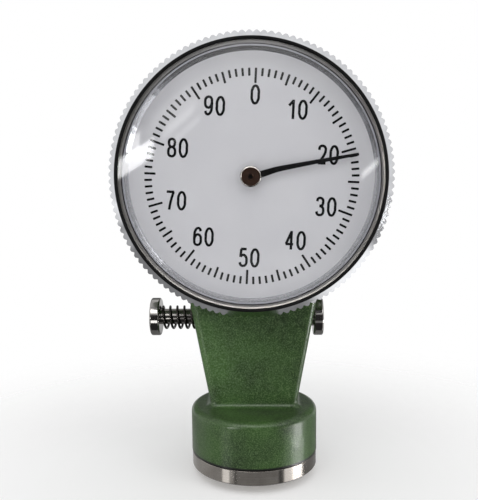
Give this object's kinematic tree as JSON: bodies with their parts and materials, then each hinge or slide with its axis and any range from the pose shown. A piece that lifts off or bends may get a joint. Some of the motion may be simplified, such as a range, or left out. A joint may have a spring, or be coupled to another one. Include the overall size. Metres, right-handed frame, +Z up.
{
  "type": "sand mould hardness tester",
  "caption": "Hand-held sand mould hardness tester: round dial gauge on a green flared neck and foot, with a ball plunger, geared movement, turning bezel and sprung cross-rod lock.",
  "frame": {"origin": "centre of the seating face under the base ring", "axes": "+Z up along the plunger, the dial faces -Y, +X is to the reader's right"},
  "size_m": [0.06, 0.0334, 0.0998],
  "materials": {
    "green_enamel": "hammered gloss enamel",
    "turned_steel": "fine turned",
    "chrome_rim": "polished chrome plate",
    "clear_crystal": "clear",
    "black_rubber": "satin",
    "dial_enamel": "matt white",
    "black_enamel": "satin black",
    "bronze": "polished",
    "polished_nickel": "polished nickel plate",
    "spring_steel": "dark oiled",
    "bright_steel": "ground",
    "screw_steel": "bright",
    "brass": "satin",
    "satin_steel": "circular satin"
  },
  "bodies": {
    "case": {"housing": "green_enamel", "base_ring": "turned_steel", "back_cover": "satin_steel", "back_cover_screws": "screw_steel", "lower_guide_bush": "bronze", "upper_guide_bush": "bronze", "lock_bushes": "spring_steel", "spring_adjuster": "bright_steel", "main_spring": "spring_steel", "lock_spring": "spring_steel", "front_plate": "brass", "rear_plate": "brass", "plate_pillars": "bright_steel", "pillar_screws": "screw_steel", "movement_screws": "screw_steel", "hairspring": "spring_steel", "hairspring_stud": "bright_steel", "bezel_clip": "spring_steel"},
    "plunger": {"plunger_head": "turned_steel", "spindle": "bright_steel", "guide_pin": "bright_steel"},
    "rack_gear": {"rack_arbor": "bright_steel", "intermediate_wheel": "brass"},
    "needle": {"centre_arbor": "bright_steel", "pointer": "black_enamel", "pointer_hub": "bronze"},
    "take_up": {"take_up_wheel": "brass", "take_up_arbor": "bright_steel"},
    "bezel_set": {"bezel": "chrome_rim", "crystal": "clear_crystal", "crystal_gasket": "black_rubber", "dial_plate": "dial_enamel"},
    "lock": {"lock_rod": "polished_nickel", "lock_cap": "polished_nickel"}
  },
  "joints": [
    {"name": "plunger_slide", "type": "slide", "parent": "case", "child": "plunger", "axis": [0, 0, 1], "range_m": [-0.00053, 0.00201], "stiffness_N_per_m": 3592, "springref_m": -0.00067, "deforming": ["main_spring"]},
    {"name": "rack_gear_turn", "type": "hinge", "parent": "case", "child": "rack_gear", "pos_m": [-0.0034, 0, 0.05723], "axis": [0, 1, 0], "range_deg": [-48, 12.8]},
    {"name": "needle_turn", "type": "hinge", "parent": "case", "child": "needle", "pos_m": [0, 0, 0.0678], "axis": [0, 1, 0], "range_deg": [-75.6, 284.6]},
    {"name": "take_up_turn", "type": "hinge", "parent": "case", "child": "take_up", "pos_m": [-0.00065, 0, 0.07577], "axis": [0, 1, 0], "range_deg": [-71.2, 18.95]},
    {"name": "bezel_turn", "type": "hinge", "parent": "case", "child": "bezel_set", "pos_m": [0, 0, 0.0678], "axis": [0, 1, 0], "continuous": true},
    {"name": "lock_slide", "type": "slide", "parent": "case", "child": "lock", "axis": [1, 0, 0], "range_m": [0, 0.003], "stiffness_N_per_m": 500, "springref_m": -0.004, "deforming": ["lock_spring"]}
  ],
  "couplings": [
    {"joint": "rack_gear_turn", "follows": "plunger_slide", "rad_per_m": -416.67},
    {"joint": "needle_turn", "follows": "plunger_slide", "rad_per_m": 2474},
    {"joint": "take_up_turn", "follows": "plunger_slide", "rad_per_m": -618.49}
  ]
}
